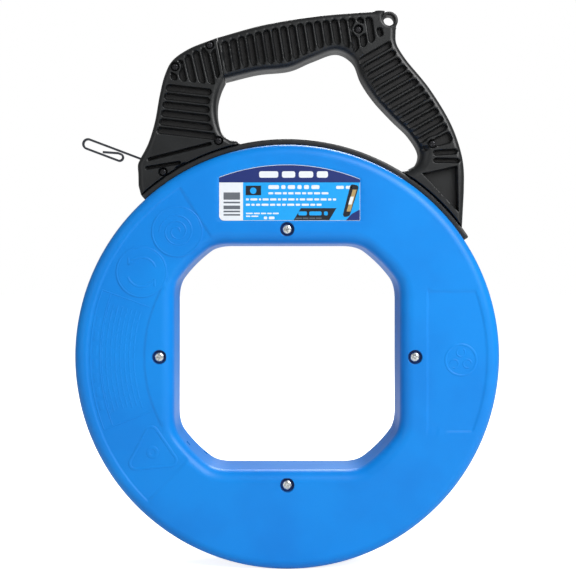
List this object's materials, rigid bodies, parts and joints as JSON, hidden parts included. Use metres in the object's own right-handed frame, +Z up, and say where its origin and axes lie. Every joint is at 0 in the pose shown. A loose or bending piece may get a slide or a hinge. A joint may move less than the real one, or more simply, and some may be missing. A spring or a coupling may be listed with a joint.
{
  "type": "fish tape reel",
  "caption": "Ring-shaped fish tape reel: a two-shell case with an open hub turns in the rim guide of a carrying handle, and a hooked flat steel tape leads out of the handle's nose.",
  "frame": {"origin": "centre of the hand grip", "axes": "+Z up as carried, reel axis along Y, labelled face towards -Y"},
  "size_m": [0.3048, 0.06, 0.4048],
  "materials": {
    "case_blue": "semi-gloss moulded blue plastic",
    "handle_black": "satin moulded black plastic",
    "guide_nylon": "satin black nylon",
    "zinc_steel": "bright zinc plate",
    "black_steel": "black oxide",
    "tape_steel": "blued spring steel",
    "label_film": "printed film"
  },
  "bodies": {
    "handle": {"rim_guide": "guide_nylon", "nose_front": "handle_black", "nose_rear": "handle_black", "grip_front": "handle_black", "grip_rear": "handle_black", "nose_bush": "zinc_steel", "handle_screw_nose_top": "black_steel", "handle_screw_nose_seam": "black_steel", "handle_screw_nose_foot": "black_steel", "handle_screw_nose_heel": "black_steel", "handle_screw_grip_top": "black_steel", "handle_screw_grip_foot": "black_steel"},
    "reel": {"front_case_half": "case_blue", "rear_case_half": "case_blue", "case_screw_right": "zinc_steel", "case_screw_top": "zinc_steel", "case_screw_left": "zinc_steel", "case_screw_bottom": "zinc_steel", "wound_tape": "tape_steel", "anchor_post": "zinc_steel", "label": "label_film"},
    "tape_end": {"tape_end": "tape_steel"}
  },
  "joints": [
    {"name": "reel_spin", "type": "hinge", "parent": "handle", "child": "reel", "pos_m": [-0.006, 0, -0.227], "axis": [0, 1, 0], "continuous": true},
    {"name": "tape_payout", "type": "slide", "parent": "handle", "child": "tape_end", "axis": [-0.9354, 0, 0.3535], "range_m": [-0.01, 0.065]}
  ]
}
